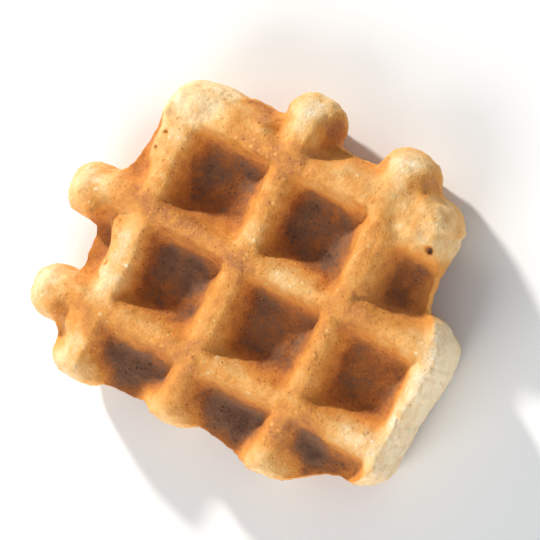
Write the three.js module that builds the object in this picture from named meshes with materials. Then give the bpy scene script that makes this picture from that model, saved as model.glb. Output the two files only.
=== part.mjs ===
// A Liège waffle: brioche dough pressed between two deep waffle irons and baked until its crust browns.
// Millimetres, +Z up. It lies flat on the crests of its lower face, and its outline is centred on the origin.
//
// Both irons hold the same square lattice of grooves. Dough that fills a groove becomes a ridge, and dough
// squeezed between two facing pegs becomes the thin web at the floor of a pocket. The dough doesn't reach
// the rims of the irons. It runs furthest along the grooves, so the ridges end in round fingers.
import * as THREE from "three";

// Irons. Lattice line 0 is the ridge nearest the middle.
const PITCH = 23.5; // from one ridge to the next, along X and along Y
const THICKNESS = 25; // from the lower crests to the upper crests
const WEB_THICKNESS = 6; // dough left between two facing pegs
const CREST_WIDTH = 4.6; // top of a ridge between its walls
const WIDER_ALONG_Y = 0.9; // how much wider the ridges along Y are
const WALL_RUN = 3.3; // how far a pocket's wall leans over its depth
const FILLET = 0.95; // rounding at the top and at the foot of a wall, measured across the ridge
const CORNER_BLEND = 2.2; // rounding where two walls of a pocket meet
const CREST_SAG = 0.5; // how much lower a crest is halfway between two crossings
const CREST_CROWN = 0.65; // how much lower a crest is at its edges than along its middle
const CROSSING_FILL = 0.7; // how much better the dough fills the irons where two grooves cross
const RIDGE_WANDER = 0.35; // how far a ridge strays from its straight line
const RIDGE_WANDER_LENGTH = 61;
const UNEVENNESS = 0.35; // slow rise and fall of the crust
const UNEVENNESS_LENGTH = 74;
const LAST_RIDGE = 2; // beyond this lattice line on the +X side there are no more pegs

// Places where the dough didn't reach the iron and set as a dome: lattice place and reach in pitches, and how far
// its top stays below the crests
const DOMES = [
  { side: 1, x: -1.03, y: 1.12, reach: 0.36, drop: 0.9 },
  { side: 1, x: 1.47, y: 1.04, reach: 0.44, drop: 1.3 },
  { side: -1, x: 1.5, y: 1.0, reach: 0.3, drop: 1.2 },
  { side: -1, x: -1.05, y: -0.95, reach: 0.28, drop: 1.0 },
];
const DOME_FALL = 1.4; // how far a dome falls from its top to its reach

// Web: rounded rectangles, in pitches from lattice line 0. The second one carries the last ridge on the +X side.
const WEB_PATCHES = [
  { left: -1.42, right: 1.7, front: -1.62, back: 1.31, corner: 0.56 },
  { left: 1.3, right: 2.11, front: -1.45, back: 0.28, corner: 0.36 },
];
const EDGE_WAVE = 0.8; // how far the web's edge waves in and out, in millimetres
const EDGE_WAVE_LENGTHS = [37, 47]; // along X and along Y

// Fingers: bars with round tips. line and tip are in pitches, half is half the width in millimetres.
const FINGERS = [
  { along: "x", line: -1.1, root: -1, tip: -1.72, half: 6.2 },
  { along: "x", line: -0.11, root: -1, tip: -1.82, half: 6.3 },
  { along: "x", line: 0.95, root: -0.9, tip: -1.2, half: 5.9 },
  { along: "x", line: 1.0, root: 1, tip: 1.64, half: 6.1 },
  { along: "y", line: -1.01, root: -1, tip: -1.74, half: 6.1 },
  { along: "y", line: -0.02, root: -1, tip: -1.7, half: 5.9 },
  { along: "y", line: 1.0, root: -1, tip: -1.67, half: 6.0 },
  { along: "y", line: -0.96, root: 0.9, tip: 1.18, half: 5.9 },
  { along: "y", line: -0.01, root: 1, tip: 1.61, half: 6.6 },
  { along: "y", line: 1.0, root: 1, tip: 1.56, half: 6.4 },
];
const FINGER_BLEND = 4.5; // rounding in the corner between a finger and the web
const FINGER_SPREAD = 0.75; // distances from a finger's own middle line shrink by this, which widens its crest
const FINGER_TURN = [-0.12, 0.16]; // where a ridge turns onto the finger's middle line, in pitches out of the web
const FINGER_REACH = [7, 11]; // how far from that line the turn fades out

// Free edge, which no iron touches
const EDGE_ROUND = 4.2; // how far in from the edge of the web the dough rounds over
const TIP_ROUND = 8.5; // the same on a finger
const TIP_START = 0.3; // how far out of the web a finger has its full roundness, in pitches
const SLAB_ROUND = 3.4; // the same along the open last ridge, which is as wide as the dough ran
const SLAB_START = 1.65; // where the edge starts to turn that sharp, in pitches
const FREE_RISE = 0.4; // how much higher than the crests that rounding ends
const FREE_BLEND = 1.8; // rounding between pressed crust and free edge

// Facets
const BORDER = 2.2; // width of the border that is swept round the outline
const BORDER_STEPS = 4; // facets from the inner side of the border down to mid-height
const SNAP = 0.3; // share of a grid gap within which a corner moves onto the border

const HALF_THICKNESS = THICKNESS / 2;
const HALF_WEB = WEB_THICKNESS / 2;
const HALF_CREST = CREST_WIDTH / 2;
const { clamp, lerp, smoothstep } = THREE.MathUtils;

// The larger of two values, its crease rounded where they differ by less than blend.
function roundMax(a, b, blend) {
  const overlap = Math.max(blend - Math.abs(a - b), 0) / blend;
  return Math.max(a, b) + (overlap * overlap * blend) / 4;
}

function roundMin(a, b, blend) {
  return -roundMax(-a, -b, blend);
}

// Goes from 0 to 1 in a straight line whose two bends are rounded.
function roundRamp(t, round) {
  if (t < round) return Math.max(t + round, 0) ** 2 / (4 * round);
  if (t > 1 - round) return 1 - Math.max(1 + round - t, 0) ** 2 / (4 * round);
  return t;
}

function toNearestRidge(v) {
  return Math.abs(v - PITCH * Math.round(v / PITCH));
}

// How far a point lies from the middle of the nearest of one set of parallel grooves. phase tells the upper iron
// from the lower one.
function awayFromGroove(across, along, phase) {
  return toNearestRidge(across + RIDGE_WANDER * Math.sin((2 * Math.PI * along) / RIDGE_WANDER_LENGTH + phase));
}

// How far a point lies from the crest's middle line: the nearest groove's in the web, a finger's own out on it.
function awayFromCrest(x, y, awayX, awayY) {
  const fromFinger = Math.min(...FINGERS.map((finger) => finger.half - insideFinger(x, y, finger)));
  const turn = smoothstep(-insideWeb(x, y) / PITCH, ...FINGER_TURN) * (1 - smoothstep(fromFinger, ...FINGER_REACH));
  return Math.max(lerp(roundMin(awayX, awayY, CORNER_BLEND), FINGER_SPREAD * fromFinger, turn), 0);
}

// Height over mid-height that one iron gives the dough: crest, leaning wall, pocket floor, or dome.
function ironHeight(x, y, { side, phase }) {
  const pressedX = Math.min(x, LAST_RIDGE * PITCH);
  const awayX = Math.max(awayFromGroove(pressedX, y, phase) - WIDER_ALONG_Y / 2, 0);
  const awayY = awayFromGroove(y, pressedX, phase + 1.7);
  const away = awayFromCrest(x, y, awayX, awayY);
  const alongRidge = Math.max(awayX, awayY);
  const sag = CREST_SAG * smoothstep(alongRidge, HALF_CREST, PITCH / 2);
  const fill = CROSSING_FILL * (1 - smoothstep(alongRidge, 0, CREST_WIDTH));
  const crown = CREST_CROWN * Math.min(away / HALF_CREST, 1.5) ** 2;
  const downWall = roundRamp((away - HALF_CREST) / WALL_RUN, FILLET / WALL_RUN);
  const turn = (2 * Math.PI) / UNEVENNESS_LENGTH;
  const uneven = UNEVENNESS * (Math.sin(turn * x + 2 * phase) * Math.cos(turn * y - phase) - 1);
  const pressed = lerp(HALF_THICKNESS - sag - crown + fill, HALF_WEB, downWall) + uneven;
  return Math.min(withDomes(pressed, x, y, side), HALF_THICKNESS);
}

function withDomes(pressed, x, y, side) {
  return DOMES.filter((dome) => dome.side === side).reduce((height, dome) => {
    const r = Math.hypot(x / PITCH - dome.x, y / PITCH - dome.y) / dome.reach;
    return lerp(height, HALF_THICKNESS - dome.drop - DOME_FALL * r * r, 1 - smoothstep(r, 0.5, 1.05));
  }, pressed);
}

// How far a point lies inside a rounded rectangle.
function insidePatch(x, y, { left, right, front, back, corner }) {
  const pastX = Math.max(left * PITCH - x, x - right * PITCH) + corner * PITCH;
  const pastY = Math.max(front * PITCH - y, y - back * PITCH) + corner * PITCH;
  return corner * PITCH - Math.hypot(Math.max(pastX, 0), Math.max(pastY, 0)) - Math.min(Math.max(pastX, pastY), 0);
}

// How far a point lies inside the web.
function insideWeb(x, y) {
  const [alongX, alongY] = EDGE_WAVE_LENGTHS;
  const wave = Math.sin((2 * Math.PI * x) / alongX - 2.1) + Math.cos((2 * Math.PI * y) / alongY);
  const [main, beyond] = WEB_PATCHES.map((patch) => insidePatch(x, y, patch));
  return roundMax(main, beyond, FINGER_BLEND) + EDGE_WAVE * wave;
}

// How far a point lies inside a finger.
function insideFinger(x, y, finger) {
  const [along, across] = finger.along === "x" ? [x, y] : [y, x];
  const root = finger.root * PITCH;
  const end = finger.tip * PITCH - Math.sign(finger.tip - finger.root) * finger.half;
  const nearest = clamp(along, Math.min(root, end), Math.max(root, end));
  return finger.half - Math.hypot(along - nearest, across - finger.line * PITCH);
}

// How far a point lies inside the dough's outline.
function insideDough(x, y) {
  return FINGERS.reduce(
    (inside, finger) => roundMax(inside, insideFinger(x, y, finger), FINGER_BLEND),
    insideWeb(x, y),
  );
}

// Unit vector towards the dough's outline, where insideDough falls fastest.
function outwardAt(x, y) {
  const step = 0.1;
  const gx = insideDough(x - step, y) - insideDough(x + step, y);
  const gy = insideDough(x, y - step) - insideDough(x, y + step);
  const size = Math.hypot(gx, gy) || 1;
  return [gx / size, gy / size];
}

// 0 in the web, and 1 on a finger well out of it.
function outOnFinger(x, y) {
  return smoothstep(-insideWeb(x, y), 0, TIP_START * PITCH);
}

// How far in from the outline the free edge rounds over.
function roundingAt(x, y) {
  const open = smoothstep(x, SLAB_START * PITCH, LAST_RIDGE * PITCH);
  return lerp(EDGE_ROUND, TIP_ROUND, outOnFinger(x, y)) + (SLAB_ROUND - EDGE_ROUND) * open;
}

// Height over mid-height of the free edge, a quarter ellipse. angle goes from 0 at mid-height to a right angle.
function freeHeight(angle) {
  return (HALF_THICKNESS + FREE_RISE) * Math.sin(angle);
}

// Height over mid-height of one face of the dough, away from its border.
function faceHeight(x, y, face) {
  const inside = insideDough(x, y);
  const round = roundingAt(x, y);
  const free = freeHeight(Math.acos(1 - clamp(inside / round, 0, 1))) + Math.max(inside - round, 0);
  return roundMin(ironHeight(x, y, face), free, FREE_BLEND);
}

const FACES = [
  { side: 1, phase: 0 },
  { side: -1, phase: 2.2 },
];

// Grid lines that follow every crest, fillet and wall of the lattice.
function latticeLines(low, high) {
  const foot = HALF_CREST + WALL_RUN;
  const offsets = [
    HALF_CREST - FILLET,
    HALF_CREST + FILLET / 2,
    HALF_CREST + WALL_RUN / 2,
    foot - FILLET / 2,
    foot + FILLET,
    (foot + FILLET + PITCH / 2) / 2,
  ];
  const lines = [];
  for (let ridge = Math.floor(low / PITCH); ridge <= Math.ceil(high / PITCH); ridge++) {
    const at = ridge * PITCH;
    lines.push(at, at + PITCH / 2);
    for (const offset of offsets) lines.push(at - offset, at + offset);
  }
  return lines.filter((v) => v > low && v < high).sort((a, b) => a - b);
}

// Cuts the lattice grid along the inner side of the border. Returns points in plan and triangles between them.
function planOfFaces() {
  const xs = latticeLines(-1.9 * PITCH, 2.45 * PITCH);
  const ys = latticeLines(-1.9 * PITCH, 1.9 * PITCH);
  const points = [];
  const triangles = [];
  const pastBorder = (x, y) => insideDough(x, y) - BORDER;

  // Grid corners, with those near the border moved straight onto it
  const corners = xs.map((x, i) =>
    ys.map((y, j) => {
      const gap = Math.min(xs[i] - xs[Math.max(i - 1, 0)] || PITCH, ys[j] - ys[Math.max(j - 1, 0)] || PITCH);
      const past = pastBorder(x, y);
      if (Math.abs(past) > SNAP * gap) return { x, y, past };
      const moved = { x, y, past: 0 };
      for (let pass = 0; pass < 3; pass++) {
        const [ox, oy] = outwardAt(moved.x, moved.y);
        const off = pastBorder(moved.x, moved.y);
        moved.x += ox * off;
        moved.y += oy * off;
      }
      return moved;
    }),
  );

  const place = (corner) => {
    corner.index ??= points.push([corner.x, corner.y]) - 1;
    return corner.index;
  };

  // Point where a grid edge crosses the border, halved down to a hair
  const crossings = new Map();
  const crossing = (a, b) => {
    const [inner, outer] = a.past > b.past ? [a, b] : [b, a];
    const key = `${inner.x},${inner.y},${outer.x},${outer.y}`;
    if (!crossings.has(key)) {
      let [low, high] = [0, 1];
      for (let pass = 0; pass < 20; pass++) {
        const half = (low + high) / 2;
        if (pastBorder(lerp(inner.x, outer.x, half), lerp(inner.y, outer.y, half)) > 0) low = half;
        else high = half;
      }
      crossings.set(key, points.push([lerp(inner.x, outer.x, low), lerp(inner.y, outer.y, low)]) - 1);
    }
    return crossings.get(key);
  };

  for (let i = 0; i < xs.length - 1; i++) {
    for (let j = 0; j < ys.length - 1; j++) {
      const cell = [corners[i][j], corners[i + 1][j], corners[i + 1][j + 1], corners[i][j + 1]];
      if (!cell.some((corner) => corner.past > 0)) continue;
      const rim = [];
      cell.forEach((corner, k) => {
        const next = cell[(k + 1) % 4];
        if (corner.past >= 0) rim.push(place(corner));
        if (corner.past * next.past < 0) rim.push(crossing(corner, next));
      });
      // A whole cell is split along its more level diagonal, so that crests and corners stay crisp
      const rise = (a, b) => Math.abs(faceHeight(a.x, a.y, FACES[0]) - faceHeight(b.x, b.y, FACES[0]));
      if (rim.length === 4 && rise(cell[0], cell[2]) > rise(cell[1], cell[3])) rim.push(rim.shift());
      for (let k = 1; k < rim.length - 1; k++) triangles.push([rim[0], rim[k], rim[k + 1]]);
    }
  }
  return { points, triangles };
}

// Sides of triangles that no other triangle shares: the line where the border begins.
function openSides(triangles) {
  const sides = new Set();
  for (const [a, b, c] of triangles) {
    for (const [from, to] of [[a, b], [b, c], [c, a]]) {
      if (!sides.delete(`${to},${from}`)) sides.add(`${from},${to}`);
    }
  }
  return [...sides].map((side) => side.split(",").map(Number));
}

// The border's points over one point of its inner side, from the upper face round mid-height to the lower face.
function borderSection(x, y) {
  const [ox, oy] = outwardAt(x, y);
  const round = roundingAt(x, y);
  const steepest = Math.acos(1 - BORDER / round);
  const section = [];
  for (let step = 1; step < 2 * BORDER_STEPS; step++) {
    const face = FACES[step <= BORDER_STEPS ? 0 : 1];
    const angle = steepest * Math.abs(1 - step / BORDER_STEPS);
    const out = BORDER - round * (1 - Math.cos(angle));
    const [px, py] = [x + ox * out, y + oy * out];
    const height = roundMin(ironHeight(px, py, face), freeHeight(angle), FREE_BLEND);
    section.push([px, py, HALF_THICKNESS + face.side * height]);
  }
  return section;
}

function waffleGeometry() {
  const { points, triangles } = planOfFaces();
  const positions = [];
  const faces = [];
  for (const face of FACES) {
    for (const [x, y] of points) positions.push(x, y, HALF_THICKNESS + face.side * faceHeight(x, y, face));
  }
  for (const [a, b, c] of triangles) faces.push(a, b, c, a + points.length, c + points.length, b + points.length);

  const sections = new Map();
  const sectionAt = (point) => {
    if (!sections.has(point)) {
      const between = borderSection(...points[point]).map((p) => positions.push(...p) / 3 - 1);
      sections.set(point, [point, ...between, point + points.length]);
    }
    return sections.get(point);
  };
  for (const [from, to] of openSides(triangles)) {
    const [a, b] = [sectionAt(from), sectionAt(to)];
    for (let k = 0; k < a.length - 1; k++) faces.push(b[k], a[k], a[k + 1], b[k], a[k + 1], b[k + 1]);
  }

  const geometry = new THREE.BufferGeometry();
  geometry.setAttribute("position", new THREE.Float32BufferAttribute(positions, 3));
  geometry.setIndex(faces);
  geometry.computeBoundingBox();
  const middle = geometry.boundingBox.getCenter(new THREE.Vector3());
  geometry.translate(-middle.x, -middle.y, 0);
  geometry.computeVertexNormals();
  return geometry;
}

const crust = new THREE.MeshStandardMaterial({ color: 0xd99a52, roughness: 0.6, metalness: 0 });
const waffle = new THREE.Mesh(waffleGeometry(), crust);
waffle.name = "waffle";

const part = new THREE.Group();
part.add(waffle);
export default part;
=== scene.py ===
import math

import bpy
import numpy as np
from mathutils import Matrix, Vector


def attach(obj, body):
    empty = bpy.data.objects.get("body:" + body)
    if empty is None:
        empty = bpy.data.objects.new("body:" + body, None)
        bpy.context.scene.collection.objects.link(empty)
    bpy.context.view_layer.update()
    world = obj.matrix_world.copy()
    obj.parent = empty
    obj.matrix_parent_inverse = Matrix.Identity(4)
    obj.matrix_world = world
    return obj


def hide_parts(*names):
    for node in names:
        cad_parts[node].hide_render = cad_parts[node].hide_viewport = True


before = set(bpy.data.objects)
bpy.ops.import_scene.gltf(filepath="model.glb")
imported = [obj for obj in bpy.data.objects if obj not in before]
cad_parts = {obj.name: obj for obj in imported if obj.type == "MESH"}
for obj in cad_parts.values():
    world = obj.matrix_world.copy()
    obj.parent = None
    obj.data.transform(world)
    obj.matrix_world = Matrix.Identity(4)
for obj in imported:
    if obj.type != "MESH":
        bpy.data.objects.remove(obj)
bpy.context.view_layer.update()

mm = 0.001

# The irons and how far the dough ran between them. Lengths are in millimetres, phases of waves in radians,
# and places on the lattice in pitches from line 0, the ridge nearest the middle.
waffleForm = {
    "origin": (-3.7, 1.62),  # where lines 0 cross, from the middle of the waffle
    "pitch": 23.5,
    "thickness": 25.0,
    "webThickness": 6.0,
    "crestWidth": 4.6,
    "widerAlongY": 0.5,  # how much wider the ridges along Y are
    "shiftAlongY": 0.5,  # and how far they stand from their lines, towards +X
    "wallRun": 3.3,
    "fillet": 1.25,
    "cornerBlend": 2.2,
    "topBlend": 0.5,
    "crestSag": 0.5,
    "crestCrown": 0.65,
    "crownLimit": 1.5,  # in half widths of a crest
    "crossingFill": 0.35,
    "ridgeWander": 0.35,
    "ridgeWanderLength": 61.0,
    "ridgeWanderPhase": 1.7,  # ridges along X against those along Y
    "unevenness": 0.35,
    "unevennessLength": 74.0,
    "lowerFacePhase": 2.2,
    "lastRidge": 2,
    "webPatches": [
        {"left": -1.42, "right": 1.7, "front": -1.62, "back": 1.31, "corner": 0.56},
        {"left": 1.3, "right": 2.11, "front": -1.45, "back": 0.28, "corner": 0.36},
    ],
    "edgeWave": 0.8,
    "edgeWaveLengths": (37.0, 47.0),
    "edgeWavePhase": -2.1,
    # axis that it follows, its line, root and tip in pitches, half its width in millimetres
    "fingers": [
        ("x", -1.1, -1.0, -1.72, 6.2),
        ("x", -0.11, -1.0, -1.82, 6.3),
        ("x", 0.95, -0.9, -1.2, 5.9),
        ("x", 1.0, 1.0, 1.64, 6.1),
        ("y", -1.01, -1.0, -1.74, 6.1),
        ("y", -0.02, -1.0, -1.7, 5.9),
        ("y", 1.0, -1.0, -1.67, 6.0),
        ("y", -0.96, 0.9, 1.18, 5.9),
        ("y", -0.01, 1.0, 1.61, 6.6),
        ("y", 1.0, 1.0, 1.56, 6.4),
    ],
    "fingerPower": 2.6,
    "fingerBlend": 4.5,
    "fingerSpread": 0.75,  # distances from a finger's middle line shrink by this, which widens its crest
    "fingerTurn": (-0.12, 0.16),  # where ridges turn into fingers, in pitches out of the web
    "fingerReach": (7.0, 11.0),  # and how far from its middle line a finger has a say in that
    "fingerSide": (-3.0, 0.0),  # its round end fades in by its side
    "fingerEnd": (-3.0, 3.5),  # and along it
    "edgeRound": 4.2,
    "tipRound": 7.5,
    "tipStart": 0.3,  # how far out of the web the tips' rounding is reached, in pitches
    "slabRound": 3.4,  # rounding of the side where the last ridge lies open
    "slabStart": 1.65,  # where it sets in, in pitches
    "freeRise": 0.4,  # how much higher dough that stands free would rise
    "freeBlend": 1.8,
    "seam": 5.0,  # how far above and below mid-height the two faces' crusts mix
    "border": 2.2,  # width of the band between the faces' grids and the free edge
    "gridX": (-1.95, 2.4),  # in pitches
    "gridY": (-1.9, 1.85),
    "linesPerPitch": 52,
    "denser": 1.5,  # how far beside a wall the lines draw together
    "snap": 0.3,  # in gaps between lines
    "borderSteps": 22,
}

# Each noise: amount, size in millimetres, layers, seed, and how far apart the two faces read theirs
noises = {
    "edge": (0.6, 7.0, 3, 3, 0),  # how far the free edge of the dough wanders in and out, in millimetres
    "wall": (0.6, 5.5, 3, 5, 30),  # the same for the top of a wall
    "floor": (0.45, 8.0, 3, 21, 50),  # swell of the pocket floors
    "lumps": (0.32, 6.0, 2, 31, 0),
    "grain": (0.14, 1.6, 2, 47, 0),
    "pores": (1.0, 1.5, 1, 61, 0),
    "bubbles": (1.0, 2.3, 1, 67, 0),
    "folds": (1.0, 3.6, 1, 53, 0),
    "smallFolds": (0.4, 1.7, 1, 59, 0),
    "paleEdge": (1.3, 5.0, 1, 11, 40),
    "paleFray": (0.6, 2.0, 1, 12, 40),
    "domeEdge": (0.16, 5.0, 3, 71, 60),
    "wideBake": (0.14, 9.0, 3, 81, 0),
    "fineBake": (0.1, 3.2, 3, 91, 0),
    "rawEdge": (1.2, 4.0, 3, 97, 0),
    "tipEdge": (1.6, 5.0, 3, 95, 0),
}

# What the irons and the oven did to this one waffle, and painted shade and light in some heat patches.
# Places and reaches are in pitches, heights in millimetres.
waffleBake = {
    "pores": 0.3,
    "poreFade": (0.5, 0.9),  # over which values of its noise a pore opens
    "bubbles": 0.4,  # burst bubbles where the dough stood free
    "bubbleFade": (0.55, 0.8),
    "creases": 0.18,
    "creaseReach": 0.22,  # in values of the folds' noise
    "bakedCreases": 0.35,  # how much of a crease is left where the crust isn't raw
    "rawLumps": 0.3,  # how much stronger lumps and grain are where it is
    "rawGrain": 0.8,
    "underfill": 0.9,  # how much lower a crest is where the groove didn't fill
    # stretches of ridge where the groove didn't fill: face, two ends, reach, amount
    "paleStretches": [
        (1, (-1.17, 0.95), (-1.16, 0.5), 0.15, 0.65),
        (1, (-1.04, -0.14), (-1.02, -0.9), 0.15, 0.75),
        (1, (-1.04, -1.4), (-1.06, -1.7), 0.16, 0.75),
        (1, (0.0, 0.36), (0.0, 0.12), 0.13, 0.55),
        (1, (0.45, 0.03), (0.8, 0.03), 0.17, 0.45),
        (1, (0.0, 1.3), (0.0, 1.6), 0.16, 1.0),
        (1, (1.04, 1.27), (1.04, 1.5), 0.16, 0.8),
        (1, (-1.5, 0.02), (-1.7, 0.06), 0.18, 0.6),
        (1, (-1.45, -1.0), (-1.6, -1.04), 0.18, 0.8),
        (1, (1.55, -0.98), (1.9, -1.02), 0.19, 0.7),
        (1, (1.95, -0.95), (2.05, -1.1), 0.3, 0.85),
        (1, (2.06, 0.3), (2.06, -1.0), 0.25, 1.0),
        (-1, (-0.9, 1.0), (-0.3, 1.0), 0.12, 0.7),
        (-1, (1.0, 0.2), (1.02, 0.8), 0.12, 0.7),
        (-1, (0.1, -1.0), (0.7, -1.0), 0.12, 0.6),
        (-1, (2.06, 0.3), (2.06, -1.0), 0.25, 0.9),
    ],
    # where the dough stood free of the iron and set as a dome: face, place, reach, drop of its top
    "domes": [
        (1, (-1.03, 1.12), 0.36, 0.9),
        (1, (1.47, 1.04), 0.44, 1.3),
        (-1, (1.5, 1.0), 0.3, 1.2),
        (-1, (-1.05, -0.95), 0.28, 1.0),
    ],
    "domeCrown": 1.4,
    "domeFade": (0.5, 1.05),  # in reaches
    # flanks that slumped outward, or inward where less than 0: face, two ends, reach, by how much
    "slumps": [
        (1, (1.2, 0.75), (1.22, 0.3), 0.13, 2.0),
        (1, (0.85, 0.8), (0.86, 0.1), 0.09, -0.8),
        (1, (-0.14, 0.75), (-0.14, 0.25), 0.09, -0.2),
        (1, (0.86, -0.25), (0.86, -0.75), 0.09, -0.6),
        (1, (-0.12, -0.7), (-0.14, -0.4), 0.1, 0.8),
        (1, (0.5, 1.17), (0.8, 1.17), 0.1, 1.0),
        (1, (-0.86, 1.2), (-0.35, 1.2), 0.13, 2.4),
        (1, (-1.19, 1.0), (-1.2, 0.5), 0.12, 2.2),
        (1, (-1.15, -0.36), (-1.15, -0.7), 0.1, 1.1),
        (1, (1.22, 1.28), (1.22, 1.4), 0.1, 1.0),
        (1, (-1.45, -0.26), (-1.24, -0.28), 0.13, 2.6),
        (1, (-1.4, -1.24), (-1.22, -1.26), 0.13, 2.6),
        (-1, (-0.5, 0.15), (-0.2, 0.15), 0.12, 1.3),
    ],
    # patches that took more or less heat, some of them painted shade where a nub or ridge shades the crust
    # and painted light where the key light falls: face, place, reach, darkening
    "heatAndShade": [
        (1, (-1.0, 0.02), 0.22, 0.03),
        (1, (-0.7, 0.0), 0.14, 0.1),
        (1, (-0.5, 0.02), 0.14, 0.12),
        (1, (-0.3, 0.0), 0.14, 0.1),
        (1, (-0.5, -1.0), 0.45, -0.08),
        (1, (0.5, -1.0), 0.4, -0.12),
        (1, (0.5, 1.05), 0.4, -0.09),
        (1, (1.0, 0.0), 0.16, -0.09),
        (1, (1.0, 1.0), 0.2, -0.15),
        (1, (-1.0, 0.97), 0.14, -0.08),
        (1, (-1.27, 0.35), 0.2, -0.2),
        (1, (-0.45, 1.28), 0.2, 0.12),
        # the next two: painted light on the open last ridge's side, which faces away from the key, on both
        # faces
        (1, (2.1, -0.35), 0.62, -0.06),
        (-1, (2.1, -0.35), 0.62, -0.1),
        (1, (1.0, -1.0), 0.16, -0.1),
        (1, (1.35, -1.32), 0.26, 0.2),
        (1, (1.8, -1.0), 0.3, -0.04),
        (1, (0.1, 1.08), 0.16, 0.1),
        (1, (1.22, 1.36), 0.15, 0.26),
        (1, (-1.3, 0.2), 0.14, 0.1),
        (1, (0.0, 0.0), 0.15, 0.14),
        (1, (0.0, -1.0), 0.14, 0.06),
        # the next two: painted shade on the flanks of the two left fingers that face away from the key
        (1, (-1.36, -0.28), 0.15, 0.1),
        (1, (-1.3, -1.17), 0.16, 0.1),
        (1, (0.5, -1.42), 0.32, 0.3),
        (1, (-0.5, -1.42), 0.3, 0.14),
        # painted shadow cast by the finger on line 0 onto the web at its right
        (1, (0.25, 1.42), 0.17, 0.34),
        (1, (0.0, 1.24), 0.14, 0.14),
        (1, (-0.26, 1.0), 0.14, 0.1),
        (1, (0.74, 1.0), 0.13, 0.1),
        (1, (1.26, 1.0), 0.13, 0.12),
        (1, (1.26, 0.0), 0.17, 0.11),
        (1, (-1.15, 0.0), 0.12, 0.07),
        (1, (-1.27, -1.0), 0.15, 0.16),
        (1, (-0.25, -1.0), 0.13, 0.1),
        (1, (1.38, -1.0), 0.18, 0.12),
        (1, (-1.0, -0.13), 0.12, 0.1),
        (1, (0.0, 0.2), 0.1, -0.06),
        (1, (1.0, 0.74), 0.12, 0.09),
        (1, (1.0, 0.42), 0.14, -0.08),
        (1, (1.0, -0.27), 0.12, 0.07),
        (1, (1.0, -0.8), 0.15, -0.08),
        (1, (1.0, -1.18), 0.12, 0.09),
        (1, (0.07, -1.0), 0.07, -0.06),
        # painted light on a ridge wall that the key lights
        (1, (-0.36, 0.16), 0.14, -0.14),
        (1, (0.6, -0.85), 0.14, 0.06),
        (1, (0.2, 0.55), 0.16, 0.1),
        (1, (-0.8, 0.5), 0.16, 0.06),
        (1, (0.0, 0.55), 0.16, 0.05),
        # the next three: painted shade on pocket floors that lie in shadow
        (1, (0.33, -0.32), 0.18, 0.1),
        (1, (0.82, -0.42), 0.13, 0.08),
        (1, (-0.72, -0.4), 0.15, 0.07),
        (1, (0.0, 0.5), 0.12, 0.06),
        (1, (1.0, -0.52), 0.12, 0.05),
        (1, (0.0, -0.5), 0.14, 0.05),
        (1, (1.5, 1.0), 0.3, 0.05),
        (1, (0.0, 1.5), 0.16, -0.15),
        (1, (-1.5, -1.02), 0.2, -0.06),
        (1, (-1.18, 0.52), 0.15, 0.14),
        (1, (-0.8, -1.32), 0.13, 0.16),
        (1, (-1.02, -1.27), 0.13, 0.07),
        (-1, (0.4, 0.1), 0.5, 0.08),
        (-1, (-0.6, 1.0), 0.4, -0.06),
    ],
    # dough bubbles and sugar lumps: face, place, reach and height in millimetres
    "bumps": [
        (1, (0.66, -0.69), 4.2, 1.0),
        (1, (0.05, -1.03), 0.9, 0.5),
        (1, (1.02, -0.12), 0.8, 0.5),
        (1, (1.0, 0.82), 0.9, 0.5),
        (1, (-0.42, -0.3), 1.8, 0.7),
        (1, (1.36, 0.9), 1.6, 0.5),
        (-1, (0.3, 0.62), 2.4, 1.3),
        (-1, (-0.6, -0.55), 2.0, 0.9),
    ],
    # where the free edge is drawn in: place, reach, by how much
    "dents": [
        ((-1.28, 0.56), 0.33, 1.2),
    ],
    # burst bubbles: face, place, reach and depth in millimetres
    "holes": [
        (1, (1.54, 0.83), 0.75, 1.8),
        (1, (-1.13, 0.7), 0.55, 0.7),
        (1, (-1.17, 0.53), 0.45, 0.6),
        (1, (-1.12, -0.62), 0.5, 0.8),
        (-1, (0.6, 1.02), 0.7, 1.6),
    ],
    "blemishPower": 3,  # gives bumps and holes steeper sides than a bell curve's
}

# How brown and how raw the crust is. Bake goes from 0, pale, to 1, burnt, and raw is 1 where the dough
# stood free of the iron. Fades say where a change begins and ends, in millimetres.
crustRule = {
    "crest": 0.42,
    "wall": 0.335,  # more on walls and floors
    "wallPower": 1.4,
    "edge": 0.22,  # less on walls and floors by the edge
    "edgeFade": (-1.0, 6.0),  # in from the web's edge
    "crossing": 0.12,
    "crossingReach": 1.4,  # in crest widths
    "crossingFade": (0.0, 6.0),  # in from the web's edge
    "rawFade": (-1.4, 2.2),  # of the dough's free height over the iron's
    "rawOnFinger": 0.7,  # how much less raw that makes a finger
    "rawOnWeb": 0.35,  # how much of it is left where the dough is no thicker than the web
    "thickFade": (0.5, 6.0),  # of the height over the web's
    "tipFade": (1.0, 7.0),  # out from the web's edge
    "tipWall": 0.15,
    "tipCrest": 0.7,
    "tipPower": 3,
    "tipEnd": 0.75,
    "faceFade": (-5.0, 4.0),  # of a face's own marks, up from the other face
    "paleFade": (0.1, 0.8),  # in shares of the way from wall to crest
    "paleBake": 0.22,
    "paleRaw": 0.85,
    "palePower": 1.5,
    "heatOnRaw": (3.0, 0.8),  # how fast a patch's darkening, heat and painted shade alike, takes rawness away, and how much at most
    # burst holes are darkened: painted shade inside them
    "holeShade": 0.5,
}

pitch = waffleForm["pitch"]
halfThickness = waffleForm["thickness"] / 2
halfWeb = waffleForm["webThickness"] / 2
halfCrest = waffleForm["crestWidth"] / 2


def smoothStep(v, low, high):
    # 3tt - 2ttt, with t going from 0 at low to 1 at high
    t = np.clip((v - low) / (high - low), 0, 1)
    return t * t * (3 - 2 * t)


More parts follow.
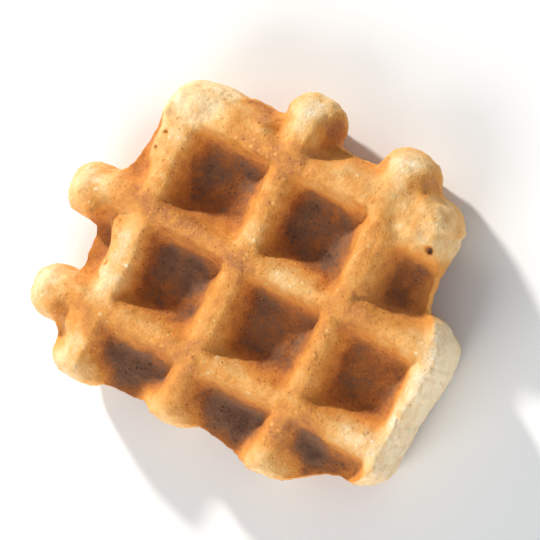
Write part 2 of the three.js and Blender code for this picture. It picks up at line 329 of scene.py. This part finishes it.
def roundMax(a, b, blend):
    # the larger value, plus a quarter of blend times the squared share by which they come within blend
    overlap = np.maximum(blend - np.abs(a - b), 0) / blend
    return np.maximum(a, b) + overlap**2 * blend / 4


def roundMin(a, b, blend):
    return -roundMax(-a, -b, blend)


def roundRamp(t, bend):
    # a straight line from 0 to 1, with a parabola of half width bend in place of each corner
    low = np.maximum(t + bend, 0) ** 2 / (4 * bend)
    high = 1 - np.maximum(1 + bend - t, 0) ** 2 / (4 * bend)
    return np.where(t < bend, low, np.where(t > 1 - bend, high, t))


def cellValue(ix, iy, iz, seed):
    # a whole-number hash of the cell's place, brought to 0..1
    h = (ix * 374761393 + iy * 668265263 + iz * 1103515245 + seed * 144665) & 0xFFFFFFFF
    h = ((h ^ (h >> 13)) * 1274126177) & 0xFFFFFFFF
    return ((h ^ (h >> 16)) & 0xFFFF) / 65535.0


def softNoise(x, y, z, size, seed):
    # hashed values at the corners of cubes of that size, mixed by smoothstep on each axis, from -1 to 1
    place = [np.asarray(v, float) / size for v in np.broadcast_arrays(x, y, z)]
    cell = [np.floor(v).astype(np.int64) for v in place]
    share = [(v - c) ** 2 * (3 - 2 * (v - c)) for v, c in zip(place, cell)]
    total = 0
    for corner in range(8):
        step = [(corner >> k) & 1 for k in range(3)]
        weight = 1
        for k in range(3):
            weight = weight * (share[k] if step[k] else 1 - share[k])
        total = total + weight * cellValue(cell[0] + step[0], cell[1] + step[1], cell[2] + step[2], seed)
    return 2 * total - 1


def noiseOf(kind, x, y, z=0, side=0):
    # each layer is half as large and half as strong as the one before; amount times their mean
    amount, size, layers, seed, apart = noises[kind]
    z = z + side * apart
    total = sum(softNoise(x, y, z, size / 2**k, seed + 17 * k) / 2**k for k in range(layers))
    return amount * (total / (2 - 2 ** (1 - layers)))


def bell(away, reach, power=2):
    # 1 in the middle and 1/e at the reach, with a power over 2 for steeper sides
    return np.exp(-((away / reach) ** power))


def marksOf(kind, side):
    # what that list holds for one face
    return [mark[1:] for mark in waffleBake[kind] if mark[0] == side]


def awayFromPlace(x, y, place):
    # distance in millimetres to a place given in pitches
    return np.hypot(x - place[0] * pitch, y - place[1] * pitch)


def awayFromLine(x, y, start, end):
    # the same to a stretch between two places
    ax, ay = start[0] * pitch, start[1] * pitch
    dx, dy = end[0] * pitch - ax, end[1] * pitch - ay
    share = np.clip(((x - ax) * dx + (y - ay) * dy) / max(dx * dx + dy * dy, 1e-9), 0, 1)
    return np.hypot(x - ax - share * dx, y - ay - share * dy)


def toNearestRidge(v):
    return np.abs(v - pitch * np.round(v / pitch))


def insidePatch(x, y, patch):
    # signed distance to a rounded rectangle, more than 0 inside
    corner = patch["corner"] * pitch
    pastX = np.maximum(patch["left"] * pitch - x, x - patch["right"] * pitch) + corner
    pastY = np.maximum(patch["front"] * pitch - y, y - patch["back"] * pitch) + corner
    outside = np.hypot(np.maximum(pastX, 0), np.maximum(pastY, 0))
    return corner - (outside + np.minimum(np.maximum(pastX, pastY), 0))


def insideWeb(x, y):
    alongX, alongY = waffleForm["edgeWaveLengths"]
    wave = np.sin(2 * math.pi * x / alongX + waffleForm["edgeWavePhase"]) + np.cos(2 * math.pi * y / alongY)
    main, beyond = (insidePatch(x, y, patch) for patch in waffleForm["webPatches"])
    return roundMax(main, beyond, waffleForm["fingerBlend"]) + waffleForm["edgeWave"] * wave


def insideFinger(x, y, axis, line, root, tip, half):
    # half the width less the distance to the finger's middle line, with a power over 2 for a blunt end
    along, across = (x, y) if axis == "x" else (y, x)
    ends = sorted((root * pitch, tip * pitch - math.copysign(half, tip - root)))
    past, power = np.abs(along - np.clip(along, *ends)), waffleForm["fingerPower"]
    return half - (past**power + np.abs(across - line * pitch) ** power) ** (1 / power)


def insideDough(x, y):
    # smooth union of the web and the fingers, with a ragged edge
    inside = insideWeb(x, y)
    for finger in waffleForm["fingers"]:
        inside = roundMax(inside, insideFinger(x, y, *finger), waffleForm["fingerBlend"])
    for place, reach, amount in waffleBake["dents"]:
        inside = inside - amount * bell(awayFromPlace(x, y, place), reach * pitch)
    return inside + noiseOf("edge", x, y)


def awayFromFinger(x, y):
    # distance to the middle line of the nearest finger
    return np.min([finger[4] - insideFinger(x, y, *finger) for finger in waffleForm["fingers"]], axis=0)


def endOfFinger(x, y):
    # 1 on the round end of a finger, by how far a point is past the middle of that end
    share = np.zeros_like(x)
    for axis, line, root, tip, half in waffleForm["fingers"]:
        forward = math.copysign(1, tip - root)
        past = (x if axis == "x" else y) * forward - (abs(tip) * pitch - half)
        close = smoothStep(insideFinger(x, y, axis, line, root, tip, half), *waffleForm["fingerSide"])
        share = np.maximum(share, smoothStep(past, *waffleForm["fingerEnd"]) * close)
    return share


def outwardAt(x, y):
    # unit vector down the slope of insideDough
    step = 0.2
    gx = insideDough(x - step, y) - insideDough(x + step, y)
    gy = insideDough(x, y - step) - insideDough(x, y + step)
    size = np.maximum(np.hypot(gx, gy), 1e-9)
    return gx / size, gy / size


def outOnFinger(x, y):
    return smoothStep(-insideWeb(x, y), 0, waffleForm["tipStart"] * pitch)


def roundingAt(x, y):
    # wide at the tips, tight along the open last ridge
    near, tip, slab = (waffleForm[k] for k in ("edgeRound", "tipRound", "slabRound"))
    onSlab = smoothStep(x, waffleForm["slabStart"] * pitch, waffleForm["lastRidge"] * pitch)
    return near + (tip - near) * outOnFinger(x, y) + (slab - near) * onSlab


def palenessAt(x, y, side):
    # largest of the stretches' bell curves
    pale = np.zeros_like(x)
    frayed = noiseOf("paleEdge", x, y, side=side) + noiseOf("paleFray", x, y, side=side)
    for start, end, reach, amount in marksOf("paleStretches", side):
        away = np.maximum(awayFromLine(x, y, start, end) + frayed, 0)
        pale = np.maximum(pale, amount * bell(away, reach * pitch))
    return pale


def domeShare(x, y, side, place, reach):
    # 1 in the dome, falling by smoothstep to 0 at its frayed edge; r is the distance over the reach
    r = awayFromPlace(x, y, place) / (reach * pitch) + noiseOf("domeEdge", x, y, side=side)
    return 1 - smoothStep(r, *waffleBake["domeFade"]), r


def facePhase(side):
    return 0 if side > 0 else waffleForm["lowerFacePhase"]


def awayFromRidges(x, y, side):
    # distances to the nearest ridge along Y and along X, which wander in long waves
    turn, wander = 2 * math.pi / waffleForm["ridgeWanderLength"], waffleForm["ridgeWander"]
    phase = facePhase(side)
    pressedX = np.minimum(x, waffleForm["lastRidge"] * pitch)
    awayX = toNearestRidge(pressedX - waffleForm["shiftAlongY"] + wander * np.sin(turn * y + phase))
    awayY = toNearestRidge(y + wander * np.sin(turn * pressedX + phase + waffleForm["ridgeWanderPhase"]))
    return np.maximum(awayX - waffleForm["widerAlongY"] / 2, 0), awayY


def ironHeight(x, y, side):
    # the distance to the nearest ridge by smooth minimum, or on a finger to its own middle line, gives
    # crest less sag and crown, wall, and pocket floor
    awayX, awayY = awayFromRidges(x, y, side)
    away = roundMin(awayX, awayY, waffleForm["cornerBlend"]) + noiseOf("wall", x, y, side=side)
    fromFinger = awayFromFinger(x, y)
    turned = smoothStep(-insideWeb(x, y) / pitch, *waffleForm["fingerTurn"])
    turned = turned * (1 - smoothStep(fromFinger, *waffleForm["fingerReach"]))
    away = away + (waffleForm["fingerSpread"] * fromFinger - away) * turned
    for start, end, reach, amount in marksOf("slumps", side):
        away = away - amount * bell(awayFromLine(x, y, start, end), reach * pitch)
    away = np.maximum(away, 0)
    run = waffleForm["wallRun"]
    ramp = roundRamp((away - halfCrest) / run, waffleForm["fillet"] / run)
    onRidge = 1 - ramp
    farther = np.maximum(awayX, awayY)
    sag = waffleForm["crestSag"] * smoothStep(farther, halfCrest, pitch / 2)
    crown = waffleForm["crestCrown"] * np.minimum(away / halfCrest, waffleForm["crownLimit"]) ** 2
    filled = waffleForm["crossingFill"] * (1 - smoothStep(farther, 0, waffleForm["crestWidth"]))
    crest = halfThickness - sag - crown + filled
    height = crest + (halfWeb - crest) * ramp

    turn, phase = 2 * math.pi / waffleForm["unevennessLength"], facePhase(side)
    uneven = waffleForm["unevenness"] * (np.sin(turn * x + 2 * phase) * np.cos(turn * y - phase) - 1)
    swell = noiseOf("floor", x, y, side=side) * ramp
    short = waffleBake["underfill"] * palenessAt(x, y, side) * onRidge
    height = height + uneven + swell - short
    for place, reach, drop in marksOf("domes", side):
        share, r = domeShare(x, y, side, place, reach)
        height = height + (halfThickness - drop - waffleBake["domeCrown"] * r * r - height) * share
    return roundMin(height, halfThickness, waffleForm["topBlend"]), onRidge


def freeHeight(angle):
    # of a quarter ellipse, with the angle going from 0 at mid-height
    return (halfThickness + waffleForm["freeRise"]) * np.sin(angle)


def blemishHeight(x, y, side):
    # steep bell curves, up for bumps and down for holes
    height = np.zeros_like(x)
    for sign, kind in ((1, "bumps"), (-1, "holes")):
        for place, reach, amount in marksOf(kind, side):
            height += sign * amount * bell(awayFromPlace(x, y, place), reach, waffleBake["blemishPower"])
    return height


def latticeLines(low, high):
    # running sum of a density that doubles on the walls, cut into equal shares
    low, high = low * pitch, high * pitch
    samples = 4001
    fine = np.linspace(low, high, samples)
    foot, margin = halfCrest + waffleForm["wallRun"], waffleForm["denser"]
    away = toNearestRidge(fine)
    onWall = smoothStep(away, halfCrest - margin, halfCrest) * (1 - smoothStep(away, foot, foot + margin))
    density = 1 + onWall
    share = np.concatenate([[0], np.cumsum((density[1:] + density[:-1]) / 2)])
    count = int(waffleForm["linesPerPitch"] * (high - low) / pitch)
    return np.interp(np.linspace(0, share[-1], count), share, fine)


def planOfFaces():
    # grid corners near the border's inner line slide onto it, and cells are cut where it crosses them
    border = waffleForm["border"]
    xs, ys = latticeLines(*waffleForm["gridX"]), latticeLines(*waffleForm["gridY"])
    x, y = np.meshgrid(xs, ys, indexing="ij")
    past = insideDough(x, y) - border
    gap = np.minimum(np.gradient(xs)[:, None], np.gradient(ys)[None, :])
    near = np.abs(past) < waffleForm["snap"] * gap
    nx, ny = x[near], y[near]
    for _ in range(3):
        ox, oy = outwardAt(nx, ny)
        off = insideDough(nx, ny) - border
        nx, ny = nx + ox * off, ny + oy * off
    x[near], y[near], past[near] = nx, ny, 0.0

    def crossings(ax, ay, ap, bx, by, bp):
        # regula falsi on each side whose two ends lie on different sides of the line
        low, high, lowPast, highPast = np.zeros_like(ax), np.ones_like(ax), ap.copy(), bp.copy()
        for _ in range(6):
            t = low - lowPast * (high - low) / (highPast - lowPast)
            middle = insideDough(ax + (bx - ax) * t, ay + (by - ay) * t) - border
            same = np.sign(middle) == np.sign(lowPast)
            low, lowPast = np.where(same, t, low), np.where(same, middle, lowPast)
            high, highPast = np.where(same, high, t), np.where(same, highPast, middle)
        least = 0.02
        t = np.clip((low + high) / 2, least, 1 - least)
        return ax + (bx - ax) * t, ay + (by - ay) * t

    # points: all corners first, then crossings on the sides along x, then on the sides along y
    corner = np.arange(x.size).reshape(x.shape)
    px, py = [x.ravel()], [y.ravel()]
    count = x.size
    sides = []
    for a, b in ((np.s_[:-1, :], np.s_[1:, :]), (np.s_[:, :-1], np.s_[:, 1:])):
        cut = past[a] * past[b] < 0
        index = np.full(cut.shape, -1)
        index[cut] = count + np.arange(cut.sum())
        cx, cy = crossings(*(v[s][cut] for s in (a, b) for v in (x, y, past)))
        px.append(cx)
        py.append(cy)
        count += cut.sum()
        sides.append(index)
    alongX, alongY = sides
    ring = np.stack(
        [
            corner[:-1, :-1], alongX[:, :-1], corner[1:, :-1], alongY[1:, :],
            corner[1:, 1:], alongX[:, 1:], corner[:-1, 1:], alongY[:-1, :],
        ],
        axis=-1,
    ).reshape(-1, 8)
    cornerPast = [past[:-1, :-1], past[1:, :-1], past[1:, 1:], past[:-1, 1:]]
    cornerPast = np.stack(cornerPast, axis=-1).reshape(-1, 4)
    there = ring >= 0
    there[:, 0::2] = cornerPast >= 0
    kept = (cornerPast > 0).any(axis=1)
    ring, there = ring[kept], there[kept]
    order = np.argsort(~there, axis=1, kind="stable")
    rim, size = np.take_along_axis(ring, order, axis=1), there.sum(axis=1)
    triangles = np.concatenate([rim[size > k + 1][:, [0, k, k + 1]] for k in range(1, 7)])
    used, triangles = np.unique(triangles, return_inverse=True)
    return np.concatenate(px)[used], np.concatenate(py)[used], triangles.reshape(-1, 3)


def openSides(triangles):
    # sides that run one way only
    sides = np.concatenate([triangles[:, [0, 1]], triangles[:, [1, 2]], triangles[:, [2, 0]]])
    span = triangles.max() + 1
    there, back = sides[:, 0] * span + sides[:, 1], sides[:, 1] * span + sides[:, 0]
    return sides[~np.isin(there, back)]


def crustColumns(x, y, side, height, iron, free, onRidge):
    # point, bake, raw and ridge: more bake on walls, floors and crossings, less at the edge, noise, and
    # each face's own marks
    rule = crustRule
    z = side * height
    web, wall, out = insideWeb(x, y), 1 - onRidge, outOnFinger(x, y)
    bake = rule["crest"] + rule["wall"] * wall ** rule["wallPower"]
    bake = bake - rule["edge"] * (1 - smoothStep(web, *rule["edgeFade"])) * wall
    farther = np.maximum(toNearestRidge(x), toNearestRidge(y))
    crossing = 1 - smoothStep(farther, 0, rule["crossingReach"] * waffleForm["crestWidth"])
    bake = bake + rule["crossing"] * crossing * smoothStep(web, *rule["crossingFade"])
    bake = bake + noiseOf("wideBake", x, y, z) + noiseOf("fineBake", x, y, z)

    thin, (low, high), (steep, most) = rule["rawOnWeb"], rule["thickFade"], rule["heatOnRaw"]
    thick = thin + (1 - thin) * smoothStep(iron, halfWeb + low, halfWeb + high)
    past = free - iron + noiseOf("rawEdge", x, y, z)
    raw = (1 - smoothStep(past, *rule["rawFade"])) * (1 - rule["rawOnFinger"] * out) * thick
    tip = smoothStep(-web + noiseOf("tipEdge", x, y, z), *rule["tipFade"])
    raw = np.maximum(raw, (rule["tipWall"] + rule["tipCrest"] * onRidge ** rule["tipPower"]) * tip)
    raw = np.maximum(raw, rule["tipEnd"] * endOfFinger(x, y))
    for face in (1, -1):
        mine = smoothStep(face * z, *rule["faceFade"])
        pale = palenessAt(x, y, face) * smoothStep(onRidge, *rule["paleFade"]) * mine
        bake = bake - rule["paleBake"] * pale
        raw = np.maximum(raw, rule["paleRaw"] * pale ** rule["palePower"])
        for place, reach, _ in marksOf("domes", face):
            raw = np.maximum(raw, mine * domeShare(x, y, face, place, reach)[0])
        # patches of more or less heat, and of painted shade and painted light where the crust stands in
        # shade or in the key light
        for place, reach, amount in marksOf("heatAndShade", face):
            bakeAndShade = mine * amount * bell(awayFromPlace(x, y, place), reach * pitch)
            bake = bake + bakeAndShade
            raw = raw * (1 - np.clip(steep * bakeAndShade, 0, most))
        # holes lose their paleness and are darkened: painted shade inside the burst bubbles
        for place, reach, _ in marksOf("holes", face):
            hollow = mine * bell(awayFromPlace(x, y, place), reach, waffleBake["blemishPower"])
            raw = raw * (1 - hollow)
            bake = bake + rule["holeShade"] * hollow
    return np.stack([x, y, z, bake, raw, onRidge], axis=-1)


def faceSurface(x, y, side):
    # smaller of the iron's height and the free quarter ellipse
    inside, rounding = insideDough(x, y), roundingAt(x, y)
    angle = np.arccos(1 - np.clip(inside / rounding, 0, 1))
    free = freeHeight(angle) + np.maximum(inside - rounding, 0)
    iron, onRidge = ironHeight(x, y, side)
    height = roundMin(iron, free, waffleForm["freeBlend"]) + blemishHeight(x, y, side)
    return crustColumns(x, y, side, height, iron, free, onRidge)


def borderSurface(x, y):
    # the quarter ellipse again, its angle going from that of the border's inner line to 0 at mid-height
    steps, border, seam = (waffleForm[k] for k in ("borderSteps", "border", "seam"))
    ox, oy = outwardAt(x, y)
    rounding = roundingAt(x, y)
    steepest = np.arccos(1 - border / rounding)
    rows = []
    for step in range(1, 2 * steps):
        side = 1 if step <= steps else -1
        angle = steepest * abs(1 - step / steps)
        out = border - rounding * (1 - np.cos(angle))
        px, py = x + ox * out, y + oy * out
        (iron, onRidge), (otherIron, otherRidge) = (ironHeight(px, py, face) for face in (side, -side))
        free = freeHeight(angle)
        height = roundMin(iron, free, waffleForm["freeBlend"])
        # at mid-height the crust is the mean of both faces'
        shared = (1 - smoothStep(height, 0, seam)) * (1 - smoothStep(border - out, 0, border)) / 2
        iron, onRidge = iron + (otherIron - iron) * shared, onRidge + (otherRidge - onRidge) * shared
        rows.append(crustColumns(px, py, side, height, iron, free, onRidge))
    return np.stack(rows)


def pointNormals(points, triangles):
    # sum of the cross products of the triangles round each point
    a, b, c = (points[triangles[:, k]] for k in range(3))
    normals = np.zeros_like(points)
    cross = np.cross(b - a, c - a)
    for k in range(3):
        for axis in range(3):
            normals[:, axis] += np.bincount(triangles[:, k], cross[:, axis], len(points))
    return normals / np.maximum(np.linalg.norm(normals, axis=1, keepdims=True), 1e-12)


def crustRelief(points, raw):
    # lumps and grain, both stronger where raw, less pores and bubbles, which are the tops of a noise, and
    # less creases, which are bell curves of a noise round its zero
    bake, (x, y, z) = waffleBake, points.T
    lumps = noiseOf("lumps", x, y, z) * (1 + bake["rawLumps"] * raw)
    grain = noiseOf("grain", x, y, z) * (1 + bake["rawGrain"] * raw)
    pores = bake["pores"] * smoothStep(noiseOf("pores", x, y, z), *bake["poreFade"])
    bubbles = bake["bubbles"] * smoothStep(noiseOf("bubbles", x, y, z), *bake["bubbleFade"]) * raw
    folds = noiseOf("folds", x, y, z) + noiseOf("smallFolds", x, y, z)
    least = bake["bakedCreases"]
    creases = bake["creases"] * bell(folds, bake["creaseReach"]) * (least + (1 - least) * raw)
    return lumps + grain - pores - bubbles - creases


def buildWaffle():
    x, y, plan = planOfFaces()
    n = len(x)
    rim, place = np.unique(openSides(plan), return_inverse=True)
    place = place.reshape(-1, 2)
    border = borderSurface(x[rim], y[rim])
    rows = len(border)
    table = np.concatenate([faceSurface(x, y, 1), faceSurface(x, y, -1), border.reshape(-1, 6)])
    points, bake, raw, ridge = table[:, :3].copy(), table[:, 3], table[:, 4], table[:, 5]

    # point numbers from the upper face's rim down to the lower face's
    between = 2 * n + np.arange(rows * len(rim)).reshape(rows, -1)
    ladder = np.concatenate([rim[None], between, rim[None] + n])
    a, b = ladder[:, place[:, 0]], ladder[:, place[:, 1]]
    walls = [np.stack([b[:-1], a[:-1], a[1:]], axis=-1), np.stack([b[:-1], a[1:], b[1:]], axis=-1)]
    triangles = np.concatenate([plan, plan[:, ::-1] + n] + [w.reshape(-1, 3) for w in walls])

    points += pointNormals(points, triangles) * crustRelief(points, raw)[:, None]
    points += [*waffleForm["origin"], halfThickness]
    points[:, 2] = np.maximum(points[:, 2], 0)
    points *= mm

    mesh = bpy.data.meshes.new("waffle_crust")
    mesh.from_pydata(points.tolist(), [], triangles.tolist())
    mesh.polygons.foreach_set("use_smooth", np.ones(len(triangles), bool))
    for name, values in (("bake", bake), ("raw", raw), ("ridge", ridge)):
        mesh.attributes.new(name, "FLOAT", "POINT").data.foreach_set("value", values.astype(np.float32))
    mesh.update()
    waffle = bpy.data.objects.new("waffle_crust", mesh)
    bpy.context.scene.collection.objects.link(waffle)
    print("waffle:", len(points), "points,", len(triangles), "triangles")
    return waffle


def srgb(r, g, b):
    # 0..255 to linear light
    return [((v / 255 + 0.055) / 1.055) ** 2.4 if v > 10 else v / 255 / 12.92 for v in (r, g, b)] + [1.0]


crustLook = {
    # colour of the crust by bake, palest first
    "tones": [
        (0.0, (249, 229, 194)),
        (0.1, (243, 209, 158)),
        (0.24, (235, 181, 111)),
        (0.44, (225, 152, 71)),
        (0.6, (198, 127, 67)),
        (0.7, (167, 106, 59)),
        (0.8, (136, 99, 75)),
        (1.0, (92, 67, 55)),
    ],
    "rawTone": 0.13,  # where raw dough of middling bake lies among the tones
    "middlingBake": 0.44,
    "rawBake": 0.35,  # how much of the bake raw dough shows
    "rawMottle": 0.32,
    "mottle": (0.3, 0.45),  # in the pockets and on the ridges
    "freckle": 0.26,
    "grain": 0.16,
    # pits are darkened: painted shade in the pores
    "pitShade": 0.11,
    # sugar crystals are lighter, partly their own pale sugar and partly a painted glint
    "crystalAndGlintLightening": 0.22,
    "glazeDarkening": 0.05,
    # noises: how many to the metre, detail, roughness
    "noises": {
        "patchy": (420, 4, 0.6),
        "freckle": (1450, 3, 0.65),
        "grain": (4000, 2, 0.5),
        "glaze": (190, 3, 0.6),
    },
    "glazeFade": (0.5, 0.62),
    # Voronoi cells: how many to the metre, where a spot begins to fade and ends, share of cells left out
    "pits": (800, 0.1, 0.3, 0.6),
    "crystals": (520, 0.14, 0.3, 0.72),
    "roughness": {"crest": 0.52, "glaze": 0.28, "crystal": 0.2, "wall": 0.88, "raw": 0.7},
    "crestFade": (0.3, 0.9),  # from the wall's roughness to the crest's
    "bumpHeight": 0.38,  # mm
    "bumpStrength": 0.8,
    "bump": {"grain": 0.35, "crystal": 0.4, "pit": -0.6},  # against the freckles' 1
    "specular": 0.22,
    "subsurface": 0.12,
    "subsurfaceRadius": (1.0, 0.5, 0.25),
    "subsurfaceDepth": 2.0,  # mm
}


class NodeMaker:
    # short calls for the nodes of one tree
    def __init__(self, tree):
        self.tree = tree

    def add(self, kind, **settings):
        node = self.tree.nodes.new(kind)
        for key, value in settings.items():
            setattr(node, key, value)
        return node

    def put(self, socket, value):
        if isinstance(value, bpy.types.NodeSocket):
            self.tree.links.new(value, socket)
        else:
            socket.default_value = value

    def maths(self, operation, *values):
        node = self.add("ShaderNodeMath", operation=operation)
        for socket, value in zip(node.inputs, values):
            self.put(socket, value)
        return node.outputs[0]

    def noise(self, place, scale, detail, roughness):
        node = self.add("ShaderNodeTexNoise")
        self.put(node.inputs["Vector"], place)
        node.inputs["Scale"].default_value = scale
        node.inputs["Detail"].default_value = detail
        node.inputs["Roughness"].default_value = roughness
        return node.outputs["Fac"]

    def remap(self, value, fromLow, fromHigh, toLow, toHigh):
        node = self.add("ShaderNodeMapRange", clamp=True)
        for socket, v in zip(node.inputs, (value, fromLow, fromHigh, toLow, toHigh)):
            self.put(socket, v)
        return node.outputs[0]

    def attribute(self, name):
        return self.add("ShaderNodeAttribute", attribute_name=name).outputs["Fac"]


def crustMaterial():
    material = bpy.data.materials.new("baked_crust")
    material.use_nodes = True
    make = NodeMaker(material.node_tree)
    shader = material.node_tree.nodes["Principled BSDF"]
    place = make.add("ShaderNodeTexCoord").outputs["Object"]
    bake, raw, ridge = (make.attribute(name) for name in ("bake", "raw", "ridge"))

    # noises of 2.4, 0.7 and 0.25 mm, and one of 5 mm that says where sugar glazed a crest
    kinds = ("patchy", "freckle", "grain", "glaze")
    patchy, freckle, grain, wide = (make.noise(place, *crustLook["noises"][kind]) for kind in kinds)
    glaze = make.maths("MULTIPLY", make.remap(wide, *crustLook["glazeFade"], 0.0, 1.0), ridge)

    # pits and sugar crystals stand round the middles of some Voronoi cells
    def spots(scale, near, far, least):
        cells = make.add("ShaderNodeTexVoronoi")
        make.put(cells.inputs["Vector"], place)
        cells.inputs["Scale"].default_value = scale
        chosen = make.add("ShaderNodeSeparateColor")
        make.put(chosen.inputs["Color"], cells.outputs["Color"])
        there = make.remap(chosen.outputs["Red"], least, least + 0.1, 0.0, 1.0)
        return make.maths("MULTIPLY", make.remap(cells.outputs["Distance"], near, far, 1.0, 0.0), there)

    pit = spots(*crustLook["pits"])
    crystal = make.maths("MULTIPLY", spots(*crustLook["crystals"]), ridge)

    def mixed(base, noise, amount):
        return make.maths("MULTIPLY_ADD", make.maths("SUBTRACT", noise, 0.5), amount, base)

    mottle = make.remap(ridge, 0.0, 1.0, *crustLook["mottle"])
    crust = mixed(mixed(bake, patchy, mottle), freckle, crustLook["freckle"])
    # pits are darkened: painted shade in the pores
    crust = make.maths("MULTIPLY_ADD", pit, crustLook["pitShade"], crust)
    crust = make.maths("MULTIPLY_ADD", glaze, crustLook["glazeDarkening"], crust)
    # sugar crystals are lightened, partly their own pale sugar and partly a painted glint
    crust = make.maths("MULTIPLY_ADD", crystal, -crustLook["crystalAndGlintLightening"], crust)
    over = make.maths("SUBTRACT", bake, crustLook["middlingBake"])
    dough = make.maths("MULTIPLY_ADD", over, crustLook["rawBake"], crustLook["rawTone"])
    dough = mixed(mixed(dough, patchy, crustLook["rawMottle"]), freckle, crustLook["freckle"] / 2)
    step = make.maths("SUBTRACT", dough, crust)
    tone = mixed(make.maths("MULTIPLY_ADD", step, raw, crust), grain, crustLook["grain"])

    ramp = make.add("ShaderNodeValToRGB")
    elements = ramp.color_ramp.elements
    while len(elements) < len(crustLook["tones"]):
        elements.new(0.5)
    for element, (position, shade) in zip(elements, crustLook["tones"]):
        element.position = position
        element.color = srgb(*shade)
    make.put(ramp.inputs["Fac"], tone)
    make.put(shader.inputs["Base Color"], ramp.outputs["Color"])

    gloss = crustLook["roughness"]
    rough = make.remap(ridge, *crustLook["crestFade"], gloss["wall"], gloss["crest"])
    for mask, goal in ((glaze, gloss["glaze"]), (raw, gloss["raw"]), (crystal, gloss["crystal"])):
        rough = make.maths("MULTIPLY_ADD", make.maths("SUBTRACT", goal, rough), mask, rough)
    make.put(shader.inputs["Roughness"], rough)

    bump, relief = make.add("ShaderNodeBump"), freckle
    bump.inputs["Strength"].default_value = crustLook["bumpStrength"]
    bump.inputs["Distance"].default_value = crustLook["bumpHeight"] * mm
    for mask, kind in ((grain, "grain"), (crystal, "crystal"), (pit, "pit")):
        relief = make.maths("MULTIPLY_ADD", mask, crustLook["bump"][kind], relief)
    make.put(bump.inputs["Height"], relief)
    make.put(shader.inputs["Normal"], bump.outputs["Normal"])
    shader.inputs["Specular IOR Level"].default_value = crustLook["specular"]
    shader.inputs["Subsurface Weight"].default_value = crustLook["subsurface"]
    shader.inputs["Subsurface Radius"].default_value = crustLook["subsurfaceRadius"]
    shader.inputs["Subsurface Scale"].default_value = crustLook["subsurfaceDepth"] * mm
    return material


waffleObject = buildWaffle()
waffleObject.data.materials.append(crustMaterial())
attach(waffleObject, "root")
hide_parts("waffle")
print("crust dressed")

# Floor, light and camera
studio = {
    "floorSize": 8.0,
    "floorTone": (247, 246, 244),
    "floorRoughness": 0.7,
    "keyTurn": 151.0,  # degrees round from +X
    "keyHeight": 30.0,
    "keyDistance": 1.3,
    "keySize": 0.11,
    "keyPower": 16.9,
    "keyTint": (1.0, 0.97, 0.92),
    # soft lights: direction, size, distance, power, tint
    "fills": [
        ((-0.1, -1.0, 0.72), 1.2, 1.5, 15.0, (1.0, 0.985, 0.96)),
        ((1.0, -0.35, 0.15), 0.8, 1.3, 4.6, (1.0, 0.95, 0.86)),
    ],
    "worldTint": (0.85, 0.95, 1.07),
    "worldStrength": 0.38,
    "leanX": 13.0,  # how far the camera leans out over +X and +Y from straight above, degrees
    "leanY": 5.0,
    "imageRight": (0.897, 0.451, 0.0),
    "distance": 1.2,
    "lens": 372.0,
    "sensor": 36.0,
    "clipStart": 0.01,
    "aim": (0.001, 0.001, 0.012),
}


def addFloor():
    half = studio["floorSize"] / 2
    corners = [(-half, -half, 0), (half, -half, 0), (half, half, 0), (-half, half, 0)]
    mesh = bpy.data.meshes.new("floor")
    mesh.from_pydata(corners, [], [(0, 1, 2, 3)])
    floor = bpy.data.objects.new("floor", mesh)
    bpy.context.scene.collection.objects.link(floor)
    material = bpy.data.materials.new("pale_floor")
    material.use_nodes = True
    shader = material.node_tree.nodes["Principled BSDF"]
    shader.inputs["Base Color"].default_value = srgb(*studio["floorTone"])
    shader.inputs["Roughness"].default_value = studio["floorRoughness"]
    mesh.materials.append(material)


def addAreaLight(name, direction, size, distance, power, tint):
    light = bpy.data.lights.new(name, "AREA")
    light.shape = "DISK"
    light.size = size
    light.energy = power
    light.color = tint
    lamp = bpy.data.objects.new(name, light)
    lamp.location = Vector(studio["aim"]) + direction.normalized() * distance
    lamp.rotation_euler = direction.to_track_quat("Z", "Y").to_euler()
    bpy.context.scene.collection.objects.link(lamp)


def addLights():
    turn, height = math.radians(studio["keyTurn"]), math.radians(studio["keyHeight"])
    flat = math.cos(height)
    key = Vector((flat * math.cos(turn), flat * math.sin(turn), math.sin(height)))
    size, distance, power, tint = (studio[k] for k in ("keySize", "keyDistance", "keyPower", "keyTint"))
    addAreaLight("key", key, size, distance, power, tint)
    for direction, size, distance, power, tint in studio["fills"]:
        addAreaLight("fill", Vector(direction), size, distance, power, tint)
    world = bpy.data.worlds.new("studio")
    world.use_nodes = True
    background = world.node_tree.nodes["Background"]
    background.inputs["Color"].default_value = (*studio["worldTint"], 1.0)
    background.inputs["Strength"].default_value = studio["worldStrength"]
    bpy.context.scene.world = world


def addCamera():
    leans = (math.tan(math.radians(studio[k])) for k in ("leanX", "leanY"))
    back = Vector((*leans, 1)).normalized()
    right = Vector(studio["imageRight"])
    right = (right - back * right.dot(back)).normalized()
    up = back.cross(right)
    camera = bpy.data.cameras.new("camera")
    camera.lens = studio["lens"]
    camera.sensor_width = studio["sensor"]
    camera.clip_start = studio["clipStart"]
    holder = bpy.data.objects.new("camera", camera)
    turn = Matrix((right, up, back)).transposed().to_4x4()
    holder.matrix_world = Matrix.Translation(Vector(studio["aim"]) + back * studio["distance"]) @ turn
    bpy.context.scene.collection.objects.link(holder)
    bpy.context.scene.camera = holder


addFloor()
addLights()
addCamera()
bpy.context.scene.view_settings.view_transform = "Standard"
print("studio ready")
